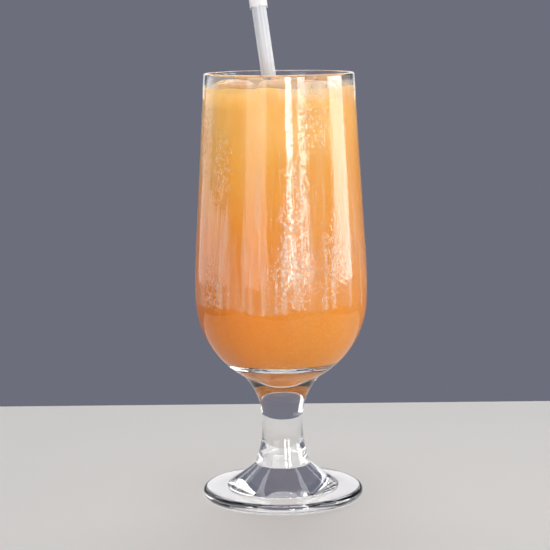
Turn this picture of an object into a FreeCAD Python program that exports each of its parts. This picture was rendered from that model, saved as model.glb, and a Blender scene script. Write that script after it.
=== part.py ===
import FreeCAD, Part
import math
import os

from FreeCAD import Vector

# A footed glass of tamarind juice with a straw, in millimetres.
# The origin is the middle of the foot's underside, +Z is up and -Y is the front.

# Glass: overall sizes
glass_height = 186.3
rim_radius = 32.4
bowl_radius = 37.55
foot_radius = 35.4

# Glass: foot and dome
foot_thickness = 4.2
ring_width = 5.3            # flat ring that the glass stands on
recess_depth = 1.0
dome_radius = 24.6
dome_step = 0.6
dome_round = 0.4
dome_hollow = 0.2           # how far the dome's side sinks below a straight line
collar_radius = 11.95
collar_height = 14.4
collar_round = 0.5

# Glass: stem
waist_radius = 8.85
waist_low = 32.0
waist_high = 34.0
lower_flare_round = 46.0
upper_flare_round = 28.5
shoulder_fillet = 3.0       # hollow where the bowl meets the stem

# Glass: bowl, outside
bowl_bottom_round = 40.0
bowl_bottom_top = 89.0      # height at which the rounded bottom turns upright
bowl_side_low = 94.0        # height from which the side starts to lean in
bowl_side_round = 200.0

# Glass: wall and the floor of its inside
rim_thickness = 1.8
wall = 2.6
ledge_outer_radius = 24.5   # the rounded inside levels out from here
ledge_radius = 21.0         # and is level here
ledge_drop = 0.8
bend_share = 0.75           # how tightly the bend into the ledge turns
dip_lip_radius = 12.5       # where the ledge bends down into the stem's head
dip_radius = 9.0            # half way down the dip
dip_depth = 9.3

# Juice
headspace = 6.9             # from the rim down to the juice

# Straw
straw_radius = 3.2
straw_wall = 0.3
straw_out = 70.0            # along the straw, from the rim to its upper end
straw_rim_side = -4.85      # X of the straw's axis at the rim
straw_lean_side = 0.137     # X per Z of the axis
straw_end_back = -5.0       # Y of the axis at the floor
seat_gap = 0.1

# Paper sleeve left on the straw, torn off below and pressed flat above
sleeve_start = 28.0         # from the rim up along the straw
sleeve_paper = 0.25
sleeve_gap = 0.1
sleeve_spare = 0.6          # extra half width of the loose paper
sleeve_past_straw = 3.0
crimp_length = 9.0
crimp_half_width = 5.2
crimp_half_thickness = 0.45

# Searching and lofting
halvings = 24
past_rim = 0.2              # the straw is followed this share of its length past the rim
crimp_sealed_share = 1 / 3  # how much of the crimp is solid paper

up = Vector(0, 0, 1)
rim_round_height = glass_height - rim_thickness / 2
juice_level = glass_height - headspace


def point(radius, height):
    """A point of the glass's half section, in the XZ plane."""
    return Vector(radius, 0, height)


def on_circle(centre, radius, angle):
    """Point of a section circle at an angle, in radians from the outward direction."""
    return centre + point(radius * math.cos(angle), radius * math.sin(angle))


def angle_of(centre, end):
    """Angle at which a section point lies as seen from a circle's centre."""
    return math.atan2(end.z - centre.z, end.x - centre.x)


def arc(centre, radius, start, end):
    """Section arc about a centre between two of its points, the short way round."""
    middle = (start + end) / 2 - centre
    middle.normalize()
    return Part.Arc(start, centre + middle * radius, end).toShape()


def line(start, end):
    return Part.LineSegment(start, end).toShape()


def bezier(*poles):
    curve = Part.BezierCurve()
    curve.setPoles(list(poles))
    return curve.toShape()


def circles_meet(centre_a, radius_a, centre_b, radius_b, side):
    """Where two section circles cross; side is +1 or -1 across the line of centres."""
    gap = centre_b - centre_a
    distance = gap.Length
    along = (distance**2 + radius_a**2 - radius_b**2) / (2 * distance)
    across = math.sqrt(radius_a**2 - along**2)
    gap.normalize()
    return centre_a + gap * along + Vector(gap.z, 0, -gap.x) * (across * side)


def touch_from(centre, radius, outside):
    """Upper touching point on a circle of the line that comes from an outside point."""
    spread = math.acos(radius / (outside - centre).Length)
    return on_circle(centre, radius, angle_of(centre, outside) - spread)


def rounded_corner(before, corner, after, radius):
    """Ends and arc of a small round between two straight lines that meet at a corner."""
    to_before = (before - corner).normalize()
    to_after = (after - corner).normalize()
    half = to_before.getAngle(to_after) / 2
    reach = radius / math.tan(half)
    inward = (to_before + to_after).normalize()
    centre = corner + inward * (radius / math.sin(half))
    start = corner + to_before * reach
    end = corner + to_after * reach
    return start, end, arc(centre, radius, start, end)


def foot_outline():
    """Underside, rounded edge, foot, dome and collar, from the axis to the stem."""
    edge_round = foot_thickness / 2
    edge_centre = point(foot_radius - edge_round, edge_round)
    ring_outer = point(edge_centre.x, 0)
    ring_inner = point(ring_outer.x - ring_width, 0)
    foot_top = point(edge_centre.x, foot_thickness)
    recess_top = point(0, recess_depth)
    recess_round = (ring_inner.x**2 + recess_depth**2) / (2 * recess_depth)
    recess = arc(point(0, recess_depth - recess_round), recess_round, recess_top, ring_inner)
    edge_side = point(foot_radius, edge_round)
    edge = Part.Arc(ring_outer, edge_side, foot_top).toShape()

    dome_foot = point(dome_radius, foot_thickness)
    dome_edge = point(dome_radius, dome_foot.z + dome_step)
    collar = point(collar_radius, collar_height)
    stem_start = point(collar_radius, collar_height + collar_round)
    edge_start, edge_end, dome_edge_arc = rounded_corner(dome_foot, dome_edge, collar, dome_round)
    slope_start, slope_end, collar_arc = rounded_corner(dome_edge, collar, stem_start, collar_round)
    middle = (edge_end + slope_start) / 2
    normal = Vector(-(slope_start - edge_end).z, 0, (slope_start - edge_end).x).normalize()
    dome_side = Part.Arc(edge_end, middle + normal * dome_hollow, slope_start).toShape()
    edges = [recess, line(ring_inner, ring_outer), edge, line(foot_top, dome_foot)]
    edges += [line(dome_foot, edge_start), dome_edge_arc, dome_side, collar_arc]
    return edges, slope_end


def stem_outline(start):
    """Stem from the collar to the hollow under the bowl, and the bowl's rounded bottom."""
    low_centre = point(waist_radius + lower_flare_round, waist_low)
    flare_drop = math.sqrt(lower_flare_round**2 - (low_centre.x - start.x)**2)
    flare_start = point(start.x, waist_low - flare_drop)
    waist_start = point(waist_radius, waist_low)
    waist_end = point(waist_radius, waist_high)
    high_centre = point(waist_radius + upper_flare_round, waist_high)
    bottom_centre = point(bowl_radius - bowl_bottom_round, bowl_bottom_top)
    hollow_centre = circles_meet(bottom_centre, bowl_bottom_round + shoulder_fillet,
                                 high_centre, upper_flare_round - shoulder_fillet, 1)
    flare_angle = angle_of(high_centre, hollow_centre)
    flare_end = on_circle(high_centre, upper_flare_round, flare_angle)
    bowl_angle = angle_of(bottom_centre, hollow_centre)
    bowl_start = on_circle(bottom_centre, bowl_bottom_round, bowl_angle)
    bowl_end = point(bowl_radius, bowl_bottom_top)
    edges = [line(start, flare_start),
             arc(low_centre, lower_flare_round, flare_start, waist_start),
             line(waist_start, waist_end),
             arc(high_centre, upper_flare_round, waist_end, flare_end),
             arc(hollow_centre, shoulder_fillet, flare_end, bowl_start),
             arc(bottom_centre, bowl_bottom_round, bowl_start, bowl_end)]
    return edges, bowl_end


def side_centre():
    """Centre of the long arc that turns the bowl's side inwards."""
    return point(bowl_radius - bowl_side_round, bowl_side_low)


def side_outline(start):
    """Outside of the bowl from its widest part to the lip."""
    side_start = point(bowl_radius, bowl_side_low)
    lip = point(rim_radius, rim_round_height)
    lean_start = touch_from(side_centre(), bowl_side_round, lip)
    edges = [line(start, side_start),
             arc(side_centre(), bowl_side_round, side_start, lean_start),
             line(lean_start, lip)]
    return edges, lip


def lip_inside():
    """Top of the straight inside wall."""
    return point(rim_radius - rim_thickness, rim_round_height)


def cavity_outline(top):
    """Inside of the glass, from a point high on its wall down to the axis."""
    inner_round = bowl_bottom_round - wall
    centre = point(bowl_radius - bowl_bottom_round, bowl_bottom_top)
    side_round = bowl_side_round - wall
    lean_start = touch_from(side_centre(), side_round, lip_inside())
    side_start = point(bowl_radius - wall, bowl_side_low)
    bottom_start = point(bowl_radius - wall, bowl_bottom_top)

    reach = ledge_outer_radius - centre.x
    bend = point(ledge_outer_radius, centre.z - math.sqrt(inner_round**2 - reach**2))
    fall = reach / (centre.z - bend.z)
    ledge = point(ledge_radius, bend.z - ledge_drop)
    corner = point(ledge_outer_radius - ledge_drop / fall, ledge.z)
    dip_middle = point(dip_radius, ledge.z - dip_depth / 2)
    dip_handle = point(dip_lip_radius, ledge.z - dip_depth / 4)
    floor = point(0, ledge.z - dip_depth)
    edges = [line(top, lean_start),
             arc(side_centre(), side_round, lean_start, side_start),
             line(side_start, bottom_start),
             arc(centre, inner_round, bottom_start, bend),
             bezier(bend, bend + (corner - bend) * bend_share,
                    corner + (ledge - corner) * (1 - bend_share), ledge),
             bezier(ledge, point(dip_lip_radius, ledge.z), dip_handle, dip_middle),
             bezier(dip_middle, dip_middle * 2 - dip_handle,
                    point(dip_radius / 2, floor.z), floor)]
    return edges, floor


def wall_inside(height):
    """Point of the straight inside wall at a height near the rim."""
    top = lip_inside()
    lean_start = touch_from(side_centre(), bowl_side_round - wall, top)
    share = (height - lean_start.z) / (top.z - lean_start.z)
    return lean_start + (top - lean_start) * share


def revolved(edges):
    """Solid of revolution about Z of a closed half section."""
    return Part.Face(Part.Wire(edges)).revolve(Vector(0, 0, 0), up, 360)


def make_glass():
    foot, collar_end = foot_outline()
    stem, bowl_start = stem_outline(collar_end)
    side, lip = side_outline(bowl_start)
    lip_top = point(rim_radius - rim_thickness / 2, glass_height)
    lip_arc = Part.Arc(lip, lip_top, lip_inside()).toShape()
    inside, floor = cavity_outline(lip_inside())
    middle = line(floor, point(0, recess_depth))
    return revolved(foot + stem + side + [lip_arc] + inside + [middle])


def make_drink():
    """Everything inside the glass up to the level, before the straw goes in."""
    top = wall_inside(juice_level)
    inside, floor = cavity_outline(top)
    surface = line(point(0, juice_level), top)
    return revolved(inside + [surface, line(floor, point(0, juice_level))])


def solve(measure, low, high):
    """Value between low and high at which a falling measure reaches zero."""
    for _ in range(halvings):
        middle = (low + high) / 2
        if measure(middle) > 0:
            low = middle
        else:
            high = middle
    return low


def straw_line(glass):
    """Lower end, direction and length of the straw, seated on the floor and on the lip."""
    bowl_depth = glass_height - (bowl_bottom_top - bowl_bottom_round)
    end_side = straw_rim_side + straw_lean_side * bowl_depth
    end = Vector(end_side, straw_end_back, glass_height - bowl_depth)

    def lip_gap(back):
        rim_point = Vector(straw_rim_side, back, glass_height)
        upper = line((end + rim_point) / 2, rim_point + (rim_point - end) * past_rim)
        return upper.distToShape(glass)[0] - straw_radius - seat_gap

    back = solve(lip_gap, 0, rim_radius)
    direction = (Vector(straw_rim_side, back, glass_height) - end).normalize()

    def floor_gap(down):
        centre = end + direction * (bowl_depth / 2 - down)
        mouth = Part.makeCircle(straw_radius, centre, direction)
        return mouth.distToShape(glass)[0] - seat_gap

    down = solve(floor_gap, 0, bowl_depth / 2)
    seat = end + direction * (bowl_depth / 2 - down)
    length = (glass_height - seat.z) / direction.z + straw_out
    return seat, direction, length


def make_straw(end, direction, length):
    tube = Part.makeCylinder(straw_radius, length, end, direction)
    bore = Part.makeCylinder(straw_radius - straw_wall, length, end, direction)
    return tube.cut(bore)


def ellipse_wire(centre, direction, half_width, half_depth):
    """Ellipse square to the straw, wide from side to side."""
    ellipse = Part.Ellipse(Vector(0, 0, 0), half_width, half_depth)
    wire = Part.Wire(ellipse.toShape())
    wire.Placement = FreeCAD.Placement(centre, FreeCAD.Rotation(up, direction))
    return wire


def sleeve_body(start, top, tip, direction, shrink):
    """Paper hose round the straw that flattens to its crimped end, made smaller by shrink."""
    half_depth = straw_radius + sleeve_gap + sleeve_paper - shrink
    half_width = half_depth + sleeve_spare
    hose = Part.makeLoft([ellipse_wire(start, direction, half_width, half_depth),
                          ellipse_wire(top, direction, half_width, half_depth)], True)
    flat = ellipse_wire(tip, direction, crimp_half_width - shrink, crimp_half_thickness - shrink)
    closing = Part.makeLoft([ellipse_wire(top, direction, half_width, half_depth), flat], True)
    return hose.fuse(closing).removeSplitter()


def make_sleeve(end, direction, length):
    """Paper sleeve on the straw's upper end, open where it was torn."""
    start = end + direction * (length - straw_out + sleeve_start)
    top = end + direction * (length + sleeve_past_straw)
    tip = top + direction * crimp_length
    inner_tip = tip - direction * (crimp_length * crimp_sealed_share)
    outer = sleeve_body(start, top, tip, direction, 0)
    inner = sleeve_body(start, top, inner_tip, direction, sleeve_paper)
    return outer.cut(inner)


def main():
    glass = make_glass()
    end, direction, length = straw_line(glass)
    straw = make_straw(end, direction, length)
    nodes = {
        "glass": glass,
        "juice": make_drink().cut(straw),
        "straw": straw,
        "straw_sleeve": make_sleeve(end, direction, length),
    }
    os.makedirs("parts", exist_ok=True)
    for name, shape in nodes.items():
        print(name, "valid" if shape.isValid() else "NOT VALID", round(shape.Volume), "mm3")
        shape.exportStep("parts/" + name + ".step")
    print("straw:", round(length, 1), "mm long, from", end, "along", direction)


main()
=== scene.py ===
import math
import random

import bmesh
import bpy
from mathutils import Matrix, Vector
from mathutils.noise import noise as noise_at
from mathutils.bvhtree import BVHTree


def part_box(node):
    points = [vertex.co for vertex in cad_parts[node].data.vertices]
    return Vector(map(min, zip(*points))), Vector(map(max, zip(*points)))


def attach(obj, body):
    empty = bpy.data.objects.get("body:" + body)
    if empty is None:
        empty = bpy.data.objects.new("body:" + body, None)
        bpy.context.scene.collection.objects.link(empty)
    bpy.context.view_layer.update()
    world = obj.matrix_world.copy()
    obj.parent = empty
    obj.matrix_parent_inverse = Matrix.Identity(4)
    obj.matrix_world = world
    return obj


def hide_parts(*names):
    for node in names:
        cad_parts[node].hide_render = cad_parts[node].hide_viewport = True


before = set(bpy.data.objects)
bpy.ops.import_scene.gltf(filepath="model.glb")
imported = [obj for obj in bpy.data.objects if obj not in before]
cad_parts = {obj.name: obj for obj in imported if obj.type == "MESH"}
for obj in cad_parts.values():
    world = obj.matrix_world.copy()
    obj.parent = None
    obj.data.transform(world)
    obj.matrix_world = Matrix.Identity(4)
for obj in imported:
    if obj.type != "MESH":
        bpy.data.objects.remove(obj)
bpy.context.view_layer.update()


# The glass: a footed beer-style glass of clear pressed soda-lime glass, in one piece from foot to
# rim. Its half section is cut from the solid model and spun round the axis. The cold bowl is wet
# outside from just under the rim down to the mist line, which makes its reflections waver.
mm = 0.001
weld = 1e-6
outline_weld = 5e-6
spin_weld = 2e-6
mist_line = 86 * mm
wet_top = 177 * mm
glass_steps = 240
glass_bend = 1.51
relief_depth = 0.3 * mm
run_relief = 0.12
fine_run_relief = 0.10
thin_dew_relief = 0.03
thick_dew_relief = 0.3
pressed_sink = 0.3
bowl_radius = 36 * mm
bead_falloff = 3.2
dew_drawn_out = 0.4
dew_spots = [
    (2, 101, 7), (14, 104, 6), (36, 112, 7), (32, 95, 5), (6, 125, 5), (12, 140, 5),
    (26, 170, 8), (-44, 150, 6), (-52, 92, 8), (160, 110, 9), (185, 125, 7), (215, 100, 8),
    (250, 135, 9), (95, 100, 8), (120, 150, 9), (290, 160, 7),
]


class Value:
    """A shader socket. Python's operators on it add Math nodes."""

    def __init__(self, tree, socket):
        self.tree = tree
        self.socket = socket

    def node(self, kind, settings=None, values=None, output=0):
        """Adds a node: its settings first, then its sockets' values or links."""
        made = self.tree.nodes.new(kind)
        for name, setting in (settings or {}).items():
            setattr(made, name, setting)
        for name, value in (values or {}).items():
            if isinstance(value, Value):
                self.tree.links.new(value.socket, made.inputs[name])
            else:
                made.inputs[name].default_value = value
        return Value(self.tree, made.outputs[output]) if made.outputs else made

    def math(self, operation, first, second):
        return self.node("ShaderNodeMath", {"operation": operation}, {0: first, 1: second})

    def __add__(self, other):
        return self.math("ADD", self, other)

    def __radd__(self, other):
        return self.math("ADD", other, self)

    def __sub__(self, other):
        return self.math("SUBTRACT", self, other)

    def __rsub__(self, other):
        return self.math("SUBTRACT", other, self)

    def __mul__(self, other):
        return self.math("MULTIPLY", self, other)

    def __rmul__(self, other):
        return self.math("MULTIPLY", other, self)

    def __truediv__(self, other):
        return self.math("DIVIDE", self, other)


def finish(name):
    """A new material and its Object coordinates."""
    material = bpy.data.materials.new(name)
    material.use_nodes = True
    material.node_tree.nodes.clear()
    start = Value(material.node_tree, None)
    return material, start.node("ShaderNodeTexCoord", output="Object")


def coordinate(place, axis):
    """How far a place lies along X, Y or Z."""
    return place.node("ShaderNodeSeparateXYZ", values={"Vector": place}, output=axis)


def ramp_up(value, low, high):
    """Smooth 0 to 1 as a value goes from low to high."""
    settings = {"interpolation_type": "SMOOTHSTEP"}
    values = {"Value": value, "From Min": low, "From Max": high}
    return value.node("ShaderNodeMapRange", settings, values)


def noise(place, stretch, scale, detail=2.0):
    """Noise on a pattern that is stretched along the three axes."""
    spread = place.node("ShaderNodeMapping", values={"Vector": place, "Scale": stretch})
    values = {"Vector": spread, "Scale": scale, "Detail": detail}
    return place.node("ShaderNodeTexNoise", values=values)


def mixed(factor, first, second):
    """Colour mix from first to second."""
    values = {"Factor": factor, 6: first, 7: second}
    return factor.node("ShaderNodeMix", {"data_type": "RGBA"}, values, output=2)


def surface(place, shader):
    place.node("ShaderNodeOutputMaterial", values={"Surface": shader})


def half_section(name, turn=0.0):
    """Outline of a turned CAD node in the XZ plane, on its +X side, as a bmesh of edges."""
    cut = bmesh.new()
    cut.from_mesh(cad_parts[name].data)
    bmesh.ops.remove_doubles(cut, verts=cut.verts, dist=weld)
    bmesh.ops.rotate(cut, verts=cut.verts, matrix=Matrix.Rotation(turn, 3, "Z"))
    everything = cut.verts[:] + cut.edges[:] + cut.faces[:]
    bmesh.ops.bisect_plane(cut, geom=everything, dist=weld, plane_co=(0, 0, 0),
                           plane_no=(0, 1, 0), clear_inner=True, clear_outer=True)
    everything = cut.verts[:] + cut.edges[:]
    bmesh.ops.bisect_plane(cut, geom=everything, dist=weld, plane_co=(0, 0, 0),
                           plane_no=(1, 0, 0), clear_inner=True)
    bmesh.ops.remove_doubles(cut, verts=cut.verts, dist=outline_weld)
    return cut


def spun(outline, steps):
    """Spins a half outline into a closed body."""
    bmesh.ops.spin(outline, geom=outline.verts[:] + outline.edges[:], cent=(0, 0, 0),
                   axis=(0, 0, 1), angle=math.tau, steps=steps, use_merge=True)
    bmesh.ops.remove_doubles(outline, verts=outline.verts, dist=spin_weld)
    bmesh.ops.recalc_face_normals(outline, faces=outline.faces)


def piece(shape, name, material, sharp=None):
    """An object of a finished bmesh, smooth except at edges sharper than an angle."""
    mesh = bpy.data.meshes.new(name)
    shape.to_mesh(mesh)
    shape.free()
    mesh.materials.append(material)
    mesh.shade_smooth()
    if sharp:
        mesh.set_sharp_from_angle(angle=math.radians(sharp))
    made = bpy.data.objects.new(name, mesh)
    bpy.context.scene.collection.objects.link(made)
    return made


def clear_shell(place, settings):
    """A refracting shader that lets light through to what lies behind it."""
    solid = place.node("ShaderNodeBsdfPrincipled", values=settings)
    through = place.node("ShaderNodeBsdfTransparent", values={"Color": (0.92, 0.92, 0.92, 1)})
    shadow = place.node("ShaderNodeLightPath", output="Is Shadow Ray")
    return place.node("ShaderNodeMixShader", values={0: shadow, 1: solid, 2: through})


def wet_zone(place, height):
    """1 on the wet part of the bowl, with a ragged lower edge."""
    ragged = noise(place, (1, 1, 0.4), 60) * 8 * mm + noise(place, (1, 1, 0.6), 500) * 4 * mm
    above = ramp_up(height - ragged, mist_line - 5 * mm, mist_line - 3.5 * mm)
    return above * (1 - ramp_up(height, wet_top - 6 * mm, wet_top))


def bead_pattern(place):
    """Round beads of dew, close together."""
    cells = place.node("ShaderNodeMapping", values={"Vector": place, "Scale": (1, 1, 0.8)})
    reach = place.node("ShaderNodeTexVoronoi", {"feature": "F1"}, {"Vector": cells, "Scale": 800})
    dome = 1 - reach * reach * bead_falloff
    return dome.math("MAXIMUM", dome, 0.0)


def thick_patches(place):
    """1 in the spots where the beads are thick, which are drawn out down the bowl."""
    drawn_out = {"Vector": place, "Scale": (1, 1, dew_drawn_out)}
    squeezed = place.node("ShaderNodeMapping", values=drawn_out)
    nearest = 1.0
    for around, up, reach in dew_spots:
        angle = math.radians(around)
        across = math.sin(angle) * bowl_radius
        ends = {0: squeezed, 1: (across, -math.cos(angle) * bowl_radius, up * mm * dew_drawn_out)}
        gap = place.node("ShaderNodeVectorMath", {"operation": "DISTANCE"}, ends, "Value")
        nearest = gap.math("MINIMUM", gap / (reach * mm * 2), nearest)
    return 1 - ramp_up(nearest + noise(place, (1, 1, 0.5), 300) * 0.7, 0.6, 0.95)


clear_glass, place = finish("clear_glass")
height = coordinate(place, "Z")
wet = wet_zone(place, height)
runs = noise(place, (1, 1, 0.1), 300)
pressed = noise(place, (1, 1, 0.5), 60) * ramp_up(height, 2 * mm, 12 * mm)
fine_runs = noise(place, (1, 1, 0.04), 700)
beading = bead_pattern(place) * (thin_dew_relief + thick_patches(place) * thick_dew_relief)
relief = wet * (runs * run_relief + fine_runs * fine_run_relief + beading)
relief = relief + (1 - wet) * (pressed - pressed_sink)
rough = place.node("ShaderNodeBump", values={
    "Height": relief, "Strength": 1.0, "Distance": relief_depth})
surface(place, clear_shell(place, {
    "Base Color": (1, 1, 1, 1), "Roughness": 0.02, "IOR": glass_bend,
    "Transmission Weight": 1.0, "Normal": rough}))

outline = half_section("glass")
spun(outline, glass_steps)
glass_tree = BVHTree.FromBMesh(outline)
glass = piece(outline, "glass_body", clear_glass, sharp=40)
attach(glass, "root")
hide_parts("glass")


# The juice: cloudy orange-tan tamarind juice, filled almost to the rim. It is the inside of the
# glass up to the level, grown slightly into the wall so that no air shows, with its edge drawn up
# the glass. It is yellower near the top, where the ice lies. Its colour also holds painted shade:
# the right side is painted darker and yellower against the light from the right, and darker
# vertical streaks are painted in.
juice_bend = 1.34
into_wall = 0.15 * mm
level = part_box("juice")[1].z
at_level = level - weld
edge_climb = 1.2 * mm
edge_reach = 1.1 * mm
amber_rise = (60 * mm, 120 * mm)
yellow_rise = (100 * mm, 165 * mm)
cloudy_rise = (145 * mm, 174 * mm)
right_shade = (-34 * mm, 16 * mm)
top_shade = (-30 * mm, 10 * mm)
low_tone = (0.80, 0.236, 0.013, 1)
mid_tone = (0.84, 0.255, 0.018, 1)
# Painted shade for the right side of the juice: darker and yellower than the middle.
right_painted_shade_tone = (0.60, 0.235, 0.024, 1)
top_left_tone = (0.98, 0.54, 0.090, 1)
# Painted shade for the right of the juice's top: darker than its left.
top_right_painted_shade_tone = (0.70, 0.34, 0.045, 1)
cloud_tone = (0.92, 0.60, 0.24, 1)
# Painted shade: the darker, deeper orange of the vertical streaks in the juice.
shade_streak_tone = (0.60, 0.165, 0.009, 1)
pulp_tone = (0.78, 0.42, 0.12, 1)

juice_look, place = finish("tamarind_juice")
height = coordinate(place, "Z")
across = coordinate(place, "X")
clouds = noise(place, (1, 1, 0.5), 45, 3.0)
shade_streaks = noise(place, (1, 1, 0.1), 140)
tone = mixed(ramp_up(height, *amber_rise), low_tone, mid_tone)
# Painted shade: the right side of the juice is mixed darker and yellower, and the right of its top
# darker.
tone = mixed(ramp_up(across, *right_shade) * 0.75, tone, right_painted_shade_tone)
top_tone = mixed(ramp_up(across, *top_shade), top_left_tone, top_right_painted_shade_tone)
tone = mixed(ramp_up(height, *yellow_rise) * 0.85, tone, top_tone)
cloudy_top = (0.35 + 0.65 * ramp_up(clouds, 0.45, 0.6)) * ramp_up(height, *cloudy_rise)
tone = mixed(cloudy_top * 0.6, tone, cloud_tone)
# Painted shade: darker vertical streaks mixed into the juice's colour.
tone = mixed(ramp_up(shade_streaks, 0.5, 0.8) * 0.3, tone, shade_streak_tone)
pulp = ramp_up(noise(place, (1, 1, 1), 1400, 3.0), 0.45, 0.8)
tone = mixed(pulp * 0.4, tone, pulp_tone)
cloudy_drink = place.node("ShaderNodeBsdfPrincipled", values={
    "Base Color": tone, "Roughness": 0.3, "Specular IOR Level": 0.12, "Subsurface Weight": 0.25,
    "Subsurface Radius": (0.010, 0.005, 0.002), "Subsurface Scale": 1.0})
mirror = place.node("ShaderNodeBsdfGlossy", values={"Color": (1, 1, 1, 1), "Roughness": 0.03})
wall_mirror = place.node("ShaderNodeFresnel", values={"IOR": juice_bend / glass_bend})
open_mirror = place.node("ShaderNodeFresnel", values={"IOR": juice_bend})
open_top = ramp_up(height, level - 0.3 * mm, level - 0.1 * mm)
shine = wall_mirror * (1 - open_top) + open_mirror * open_top
surface(place, place.node("ShaderNodeMixShader", values={0: shine, 1: cloudy_drink, 2: mirror}))

drink = half_section("juice", math.pi)
level_line = [e for e in drink.edges if min(v.co.z for v in e.verts) > at_level]
bmesh.ops.subdivide_edges(drink, edges=level_line, cuts=2)
spun(drink, glass_steps)
brim = max(math.hypot(v.co.x, v.co.y) for v in drink.verts if v.co.z > at_level)
grown = [(v, v.normal.copy()) for v in drink.verts if v.co.z < at_level]
for vert, outwards in grown:
    vert.co += outwards * into_wall
for vert in drink.verts:
    to_wall = brim - math.hypot(vert.co.x, vert.co.y)
    if vert.co.z > at_level:
        climb = edge_climb * (1 + 0.9 * noise_at(vert.co * 90))
        vert.co.z += climb * math.exp(-to_wall / edge_reach)
juice = piece(drink, "tamarind_juice_body", juice_look, sharp=60)
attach(juice, "root")
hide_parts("juice")


# The ice: half-melted cubes of clear, slightly cloudy ice that crowd the top of the glass. Each is
# a cube with rounded edges and a worn, uneven skin, tinted by the juice. Only the tops stand out.
ice_spots = [(-18.5, -9.5), (-13.5, 8), (-1.5, -18), (15.5, -14), (20, 3.5), (3, 0), (12, 17)]
ice_size = 15 * mm
ice_tops = [3.4, 4.2, 3.8, 3.0, 4.0, 4.0, 4.6]
ice_round = 3.6 * mm
broad_wear = 0.9
fine_wear = 0.25
dice = random.Random(7)

ice_look, place = finish("juice_soaked_ice")
cloudy = ramp_up(noise(place, (1, 1, 1), 180, 4.0), 0.4, 0.7)
ice_tint = mixed(cloudy, (1.0, 0.78, 0.46, 1), (1.0, 0.93, 0.80, 1))
melt = place.node("ShaderNodeBump", values={
    "Height": noise(place, (1, 1, 1), 260), "Distance": 0.25 * mm})
surface(place, place.node("ShaderNodeBsdfPrincipled", values={
    "Base Color": ice_tint, "Roughness": 0.08, "IOR": 1.31, "Normal": melt,
    "Transmission Weight": 0.75, "Subsurface Weight": 0.4, "Subsurface Radius": (0.006, 0.004, 0.003),
    "Subsurface Scale": 1.0}))

ice = bmesh.new()
for (along, back), top in zip(ice_spots, ice_tops):
    width = ice_size * dice.uniform(0.92, 1.05)
    centre = Vector((along * mm, back * mm, level + top * mm - width / 2))
    turn = Matrix.Rotation(dice.uniform(-0.6, 0.6), 4, "Z")
    turn = turn @ Matrix.Rotation(dice.uniform(-0.12, 0.12), 4, "X")
    bmesh.ops.create_cube(ice, size=width, matrix=Matrix.Translation(centre) @ turn)
bmesh.ops.bevel(ice, geom=ice.edges[:] + ice.verts[:], offset=ice_round, segments=5, profile=0.5,
                affect="EDGES", material=-1)
bmesh.ops.subdivide_edges(ice, edges=[e for e in ice.edges if e.calc_length() > 2 * mm], cuts=7,
                          use_grid_fill=True)
for vert in ice.verts:
    swell = noise_at(vert.co * 130) * broad_wear + noise_at(vert.co * 420) * fine_wear
    vert.co += vert.normal * swell * mm
ice_cubes = piece(ice, "ice_cubes", ice_look)
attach(ice_cubes, "root")


# The straw: a thin tube of translucent white plastic with fine lengthwise ribs, cut square at both
# ends. It is extruded along its own axis and given its wall, then set where the solid straw lies.
ribs = 14
rib_height = 0.05 * mm
straw_segments = 112
straw_wall = 0.3 * mm


def tube_ends(name):
    """Middles of a straight tube's lower and upper ends."""
    spots = [v.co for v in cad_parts[name].data.vertices]
    middle = sum(spots, Vector()) / len(spots)
    upper = [spot for spot in spots if spot.z > middle.z]
    lower = [spot for spot in spots if spot.z <= middle.z]
    return sum(lower, Vector()) / len(lower), sum(upper, Vector()) / len(upper)


straw_foot, straw_top = tube_ends("straw")
straw_way = (straw_top - straw_foot).normalized()
straw_length = (straw_top - straw_foot).length
straw_turn = straw_way.to_track_quat("Z", "Y")
straw_place = Matrix.Translation(straw_foot) @ straw_turn.to_matrix().to_4x4()
straw_spots = [v.co - straw_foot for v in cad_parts["straw"].data.vertices]
straw_radius = max((spot - straw_way * spot.dot(straw_way)).length for spot in straw_spots)

straw_look, place = finish("translucent_straw")
back_turn = straw_turn.inverted().to_euler()
lined_up = place.node("ShaderNodeMapping", values={"Vector": place, "Rotation": back_turn})
lines = noise(lined_up, (1, 1, 0.01), 900)
straw_tone = mixed(ramp_up(lines, 0.35, 0.65), (0.74, 0.78, 0.86, 1), (0.93, 0.96, 1.0, 1))
surface(place, place.node("ShaderNodeBsdfPrincipled", values={
    "Base Color": straw_tone, "Roughness": 0.28, "IOR": 1.45, "Transmission Weight": 0.1}))

tube = bmesh.new()
bmesh.ops.create_circle(tube, segments=straw_segments, radius=straw_radius - rib_height)
for vert in tube.verts:
    around = math.atan2(vert.co.y, vert.co.x)
    vert.co *= 1 + rib_height / straw_radius * (1 + math.cos(ribs * around)) / 2
drawn = bmesh.ops.extrude_edge_only(tube, edges=tube.edges[:])
tops = [v for v in drawn["geom"] if isinstance(v, bmesh.types.BMVert)]
bmesh.ops.translate(tube, verts=tops, vec=(0, 0, straw_length))
bmesh.ops.recalc_face_normals(tube, faces=tube.faces)
bmesh.ops.solidify(tube, geom=tube.faces[:], thickness=straw_wall)
bmesh.ops.transform(tube, verts=tube.verts, matrix=straw_place)
straw = piece(tube, "ribbed_straw", straw_look, sharp=40)
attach(straw, "root")
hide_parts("straw")


# The paper sleeve: the upper half of the straw's thin white paper wrapper, torn off round the
# straw below and pressed flat at its closed end. Rings are drawn up the straw and shaped one by
# one, then the paper gets its creases and its thickness.
paper_rings = 90
paper_segments = 96
paper_wall = 0.12 * mm
crimp_length = 9 * mm
tear_depth = 1.6 * mm
hose_half = (4.1 * mm, 3.55 * mm)
crimp_half = (5.15 * mm, 0.42 * mm)
crimp_teeth = 14
tooth_depth = 0.14
crease_depth = 0.22

sleeve_spots = [v.co - straw_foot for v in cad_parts["straw_sleeve"].data.vertices]
sleeve_heights = [spot.dot(straw_way) for spot in sleeve_spots]
sleeve_start = min(sleeve_heights)
sleeve_end = max(sleeve_heights)

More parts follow.
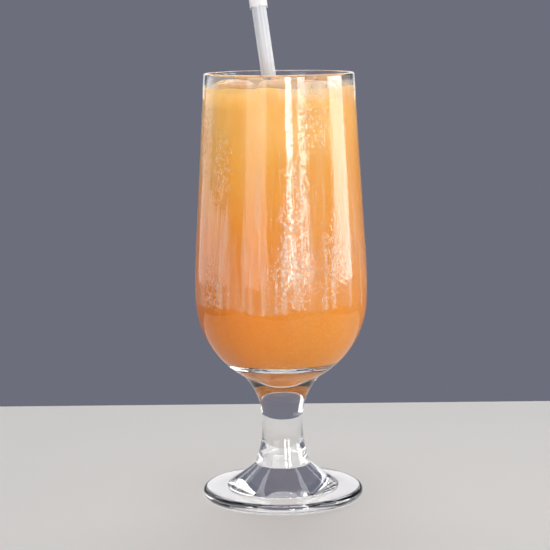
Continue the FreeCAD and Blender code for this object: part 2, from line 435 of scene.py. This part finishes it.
paper_look, place = finish("white_paper")
fibres = noise(place, (1, 1, 1), 1500, 4.0)
paper_tone = mixed(fibres, (0.90, 0.91, 0.92, 1), (0.97, 0.97, 0.97, 1))
nap = place.node("ShaderNodeBump", values={"Height": fibres, "Distance": 0.04 * mm})
surface(place, place.node("ShaderNodeBsdfPrincipled", values={
    "Base Color": paper_tone, "Roughness": 0.85, "Normal": nap, "Specular IOR Level": 0.25}))

paper = bmesh.new()
bmesh.ops.create_circle(paper, segments=paper_segments, radius=1)
rim_edges = paper.edges[:]
for _ in range(paper_rings):
    drawn = bmesh.ops.extrude_edge_only(paper, edges=rim_edges)["geom"]
    rim_edges = [e for e in drawn if isinstance(e, bmesh.types.BMEdge)]
    moved = [v for v in drawn if isinstance(v, bmesh.types.BMVert)]
    bmesh.ops.translate(paper, verts=moved, vec=(0, 0, 1 / paper_rings))
bmesh.ops.recalc_face_normals(paper, faces=paper.faces)
for vert in paper.verts:
    around = math.atan2(vert.co.y, vert.co.x)
    tear = noise_at(Vector((math.cos(around) * 2.2, math.sin(around) * 2.2, 3))) * 0.7
    tear += noise_at(Vector((math.cos(around) * 9, math.sin(around) * 9, 5))) * 0.3
    torn_start = sleeve_start + tear_depth * (0.5 + tear / 2)
    up = torn_start + (sleeve_end - torn_start) * vert.co.z
    pressed = min(1, max(0, (up - sleeve_end + crimp_length) / (crimp_length * 0.7)))
    pressed = pressed * pressed * (3 - 2 * pressed)
    half_width = hose_half[0] + (crimp_half[0] - hose_half[0]) * pressed
    half_depth = hose_half[1] + (crimp_half[1] - hose_half[1]) * pressed
    crease = noise_at(Vector((vert.co.x * 1.6, vert.co.y * 1.6, up * 160)))
    crease = crease * crease_depth * mm * (1 - pressed)
    teeth = math.sin(vert.co.x * crimp_teeth * math.pi) * tooth_depth * mm * (pressed > 0.98)
    wide = vert.co.x * (half_width + crease)
    vert.co = Vector((wide, vert.co.y * (half_depth + crease) + teeth, up))
bmesh.ops.solidify(paper, geom=paper.faces[:], thickness=paper_wall)
bmesh.ops.transform(paper, verts=paper.verts, matrix=straw_place)
sleeve = piece(paper, "torn_paper_sleeve", paper_look, sharp=50)
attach(sleeve, "root")
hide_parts("straw_sleeve")


# The mist: a film of fine dew on the cold bowl, from just under the rim down to a line where it
# stops. It is an open skin just off the outside of the glass, patchy and wiped into streaks. It
# also carries painted highlights: cream specks where the beads of dew lie, and a thicker band at
# the top on the right side.
mist_gap = 0.04 * mm
film_foot = mist_line - 8 * mm
film_top = 183.5 * mm
dew_depth = 0.03 * mm
low_fade = (25 * mm, 50 * mm)
streak_fade = (165 * mm, 120 * mm)
top_fade = (172 * mm, 180 * mm)
wiped_cover = 0.06
low_cover = 0.14
# Painted highlight: how strongly the cream specks at the beads show.
bead_glint_cover = 0.25
top_cover_left = 0.14
# Painted highlight: the extra film near the top on the right side.
top_highlight_cover = 0.26

mist_look, place = finish("fine_mist")
height = coordinate(place, "Z")
wiped = ramp_up(noise(place, (1, 1, 0.06), 160, 3.0), 0.38, 0.66)
cover = wet_zone(place, height)
drips = noise(place, (1, 1, 0.04), 210, 3.0)
sides = noise(place, (1, 1, 0.2), 28, 1.0)
low_band = 1 - ramp_up(height - drips * 60 * mm - sides * 90 * mm, *low_fade)
low_band = low_band * (0.25 + 0.75 * ramp_up(noise(place, (1, 1, 0.05), 110), 0.4, 0.6))
thinning = ramp_up(noise(place, (1, 1, 0.05), 40), 0.42, 0.55)
low_band = low_band * (1 - thinning * (1 - ramp_up(height, mist_line, mist_line + 22 * mm)))
streaky = ramp_up(noise(place, (1, 1, 0.02), 420, 3.0), 0.50, 0.62)
low_band = low_band * 0.7 + streaky * ramp_up(height, *streak_fade) * 1.1
top_band = ramp_up(height, *top_fade) * (0.4 + 0.6 * wiped)
dew = place.node("ShaderNodeBump", values={
    "Height": noise(place, (1, 1, 0.6), 1500), "Distance": dew_depth})
# Painted highlights: cream specks on the film where the beads lie, standing in for their sparkle.
bead_glints = bead_pattern(place) * thick_patches(place)
across = coordinate(place, "X")
# Mist near the top, plus a painted highlight where the film thickens towards the right.
top_mist_and_highlight = top_cover_left + top_highlight_cover * ramp_up(across, -4 * mm, 8 * mm)
film = wiped * wiped_cover + low_band * low_cover + bead_glints * bead_glint_cover
surface(place, place.node("ShaderNodeBsdfPrincipled", values={
    "Base Color": (1.0, 0.90, 0.74, 1), "Roughness": 0.25, "Normal": dew,
    "Alpha": cover * film + top_band * top_mist_and_highlight}))

mist = half_section("glass")
everything = mist.verts[:] + mist.edges[:]
bmesh.ops.bisect_plane(mist, geom=everything, dist=weld, plane_co=(0, 0, film_foot),
                       plane_no=(0, 0, 1), clear_inner=True)
everything = mist.verts[:] + mist.edges[:]
bmesh.ops.bisect_plane(mist, geom=everything, dist=weld, plane_co=(0, 0, film_top),
                       plane_no=(0, 0, 1), clear_outer=True)
kept = {max(mist.verts, key=lambda v: v.co.x)}
more = kept
while more:
    more = {e.other_vert(v) for v in kept for e in v.link_edges} - kept
    kept |= more
bmesh.ops.delete(mist, geom=[v for v in mist.verts if v not in kept], context="VERTS")
bmesh.ops.spin(mist, geom=mist.verts[:] + mist.edges[:], cent=(0, 0, 0), axis=(0, 0, 1),
               angle=math.tau, steps=glass_steps, use_merge=True)
bmesh.ops.recalc_face_normals(mist, faces=mist.faces)
for vert in mist.verts:
    vert.co += Vector((vert.co.x, vert.co.y, 0)).normalized() * mist_gap
mist_film = piece(mist, "mist_film", mist_look)
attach(mist_film, "root")


# The water drops: condensed water on the bowl, as scattered fine beads, thicker clusters, most of
# them in front, and long runs that trickled down. Each is a flattened half ball, open behind, where
# it is sunk slightly into the glass.
drop_flat = 0.35
drop_sink = 0.12
scattered = 900
trickles = 26
spot_drops = 55
spot_drop_size = 0.9 * mm
scatter_size = (0.25, 0.7)
trickle_start = (110, 172)
trickle_length = (2.5, 7)
trickle_width = (0.5, 1.0)
trickle_sway = 0.012
trickle_overlap = 0.85

water_look, place = finish("clear_water")
surface(place, clear_shell(place, {
    "Base Color": (1, 1, 1, 1), "Roughness": 0.0, "IOR": 1.2, "Specular IOR Level": 1.0,
    "Transmission Weight": 1.0}))


def on_bowl(around, up):
    """Point and outward direction of the outside of the glass."""
    outwards = Vector((math.sin(around), -math.cos(around), 0))
    spot, normal, _, _ = glass_tree.ray_cast(outwards * 0.1 + Vector((0, 0, up)), -outwards)
    return spot, normal


bead = bmesh.new()
bmesh.ops.create_icosphere(bead, subdivisions=2, radius=1)
everything = bead.verts[:] + bead.edges[:] + bead.faces[:]
bmesh.ops.bisect_plane(bead, geom=everything, dist=weld, plane_co=(0, 0, 0),
                       plane_no=(0, 0, 1), clear_inner=True)
bead.verts.index_update()
bead_points = [vert.co.copy() for vert in bead.verts]
bead_faces = [[vert.index for vert in face.verts] for face in bead.faces]
bead.free()
drop_points = []
drop_faces = []


def add_drop(around, up, size, stretch=1.0):
    """One bead of water: a flattened half ball whose long side hangs downwards."""
    spot, normal = on_bowl(around, up)
    turn = normal.to_track_quat("Z", "Y").to_matrix().to_4x4()
    half = size / 2
    spread = Matrix.Diagonal((half, half * stretch, half * drop_flat, 1))
    put = Matrix.Translation(spot - normal * half * drop_sink) @ turn @ spread
    first = len(drop_points)
    drop_points.extend(put @ point for point in bead_points)
    drop_faces.extend([first + corner for corner in face] for face in bead_faces)


for _ in range(scattered):
    around = dice.uniform(0, math.tau)
    up = dice.uniform(mist_line + 3 * mm, wet_top)
    add_drop(around, up, dice.uniform(*scatter_size) * mm, dice.uniform(0.9, 1.3))
for middle, up, reach in dew_spots:
    for _ in range(spot_drops):
        around = math.radians(middle) + dice.gauss(0, reach * mm / bowl_radius * 0.7)
        height = (up + dice.gauss(0, reach * 0.9)) * mm
        if mist_line < height < wet_top:
            add_drop(around, height, spot_drop_size * dice.uniform(0.5, 1.7), dice.uniform(0.8, 1.5))
for _ in range(trickles):
    around = dice.uniform(0, math.tau)
    start = dice.uniform(*trickle_start) * mm
    for _ in range(dice.randrange(3, 9)):
        length = dice.uniform(*trickle_length) * mm
        width = dice.uniform(*trickle_width) * mm
        around += dice.uniform(-trickle_sway, trickle_sway)
        start -= length * trickle_overlap
        if start > mist_line + 4 * mm:
            add_drop(around, start, width, length / width)
beads = bpy.data.meshes.new("all_drops")
beads.from_pydata(drop_points, [], drop_faces)
drops = bmesh.new()
drops.from_mesh(beads)
water_drops = piece(drops, "water_drops", water_look)
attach(water_drops, "root")


# The studio: a plain pale table top that ends a little behind the glass, a plain grey-blue
# surround, soft light all round, and soft windows whose reflections run down the bowl. Some of
# the windows show only as reflections or only through the glass.
table_back = 0.181
table_size = (0.6, 0.42)
table_sink = 0.05 * mm
surround = (0.150, 0.156, 0.200, 1)
soft_light = (1.0, 0.98, 0.96, 1)
soft_level = 0.30

table_look, place = finish("pale_table")
surface(place, place.node("ShaderNodeBsdfPrincipled", values={
    "Base Color": (0.60, 0.59, 0.58, 1), "Roughness": 0.6}))
top = bmesh.new()
bmesh.ops.create_grid(top, x_segments=1, y_segments=1, size=0.5)
bmesh.ops.scale(top, verts=top.verts, vec=(*table_size, 1))
bmesh.ops.translate(top, verts=top.verts, vec=(0, table_back - table_size[1] / 2, -table_sink))
piece(top, "table_top", table_look)

world = bpy.data.worlds.new("studio")
bpy.context.scene.world = world
world.use_nodes = True
world.node_tree.nodes.clear()
sky = Value(world.node_tree, None)
camera_ray = sky.node("ShaderNodeLightPath", output="Is Camera Ray")
glossy_ray = sky.node("ShaderNodeLightPath", output="Is Glossy Ray")
clear_ray = sky.node("ShaderNodeLightPath", output="Is Transmission Ray")
plain = sky.node("ShaderNodeBackground", values={"Color": surround, "Strength": 1.0})
soft = sky.node("ShaderNodeBackground", values={"Color": soft_light, "Strength": soft_level})
seen = sky.math("MINIMUM", camera_ray + glossy_ray + clear_ray, 1.0)
sky.node("ShaderNodeOutputWorld", values={
    "Surface": sky.node("ShaderNodeMixShader", values={0: seen, 1: soft, 2: plain})})


def window(name, around, width, radiance, tall, middle, distance=0.7, hidden_from=()):
    """A soft light that faces the glass from an angle round it, unseen by some kinds of ray."""
    lamp = bpy.data.lights.new(name, "AREA")
    lamp.shape = "RECTANGLE"
    lamp.size = width
    lamp.size_y = tall
    lamp.energy = radiance * math.pi * width * tall
    made = bpy.data.objects.new(name, lamp)
    bpy.context.scene.collection.objects.link(made)
    angle = math.radians(around)
    made.location = (math.sin(angle) * distance, -math.cos(angle) * distance, middle)
    made.rotation_euler = (math.pi / 2, 0, angle)
    for rays in ("camera", *hidden_from):
        setattr(made, "visible_" + rays, False)
    return made


window("window_narrow", 13, 0.10, 19, 0.26, 0.15, hidden_from=["transmission"])
window("window_middle", 32, 0.13, 11, 0.26, 0.15, hidden_from=["transmission"])
window("window_right", 93, 0.36, 6.5, 0.26, 0.15)
window("window_front", -33, 0.36, 2.1, 0.26, 0.15)
window("window_left", -128, 0.36, 1.1, 0.60, 0.30)
window("window_left_low", -95, 0.50, 1.8, 0.10, 0.06)
window("window_back", 180, 1.30, 3.0, 0.40, 0.75, hidden_from=["transmission"])
window("window_back_low", 180, 0.80, 1.1, 0.40, 0.35, hidden_from=["transmission", "diffuse"])
window("window_through_foot", 180, 1.80, 0.75, 0.20, 0.62, hidden_from=["diffuse", "glossy"])
overhead = window("window_overhead", 0, 0.45, 4.5, 0.45, 1.2, distance=0)
overhead.rotation_euler = (0, 0, 0)
sheen = window("window_overhead_sheen", 0, 1.5, 2.5, 1.5, 1.3, distance=0, hidden_from=["diffuse"])
sheen.data.shape = "DISK"
sheen.rotation_euler = (0, 0, 0)

camera_back = 0.764
camera_up = 0.21307
camera_swing = 0.195
camera_tilt_down = 8.54
camera_roll = -0.62
camera = bpy.data.cameras.new("camera")
camera.lens = 115.66
camera_object = bpy.data.objects.new("camera", camera)
bpy.context.scene.collection.objects.link(camera_object)
camera_turn = Matrix.Rotation(math.radians(camera_swing), 4, "Z")
camera_turn @= Matrix.Rotation(math.radians(90 - camera_tilt_down), 4, "X")
camera_turn @= Matrix.Rotation(math.radians(camera_roll), 4, "Z")
camera_object.matrix_world = Matrix.Translation((0, -camera_back, camera_up)) @ camera_turn
bpy.context.scene.camera = camera_object
bpy.context.scene.view_settings.view_transform = "Standard"
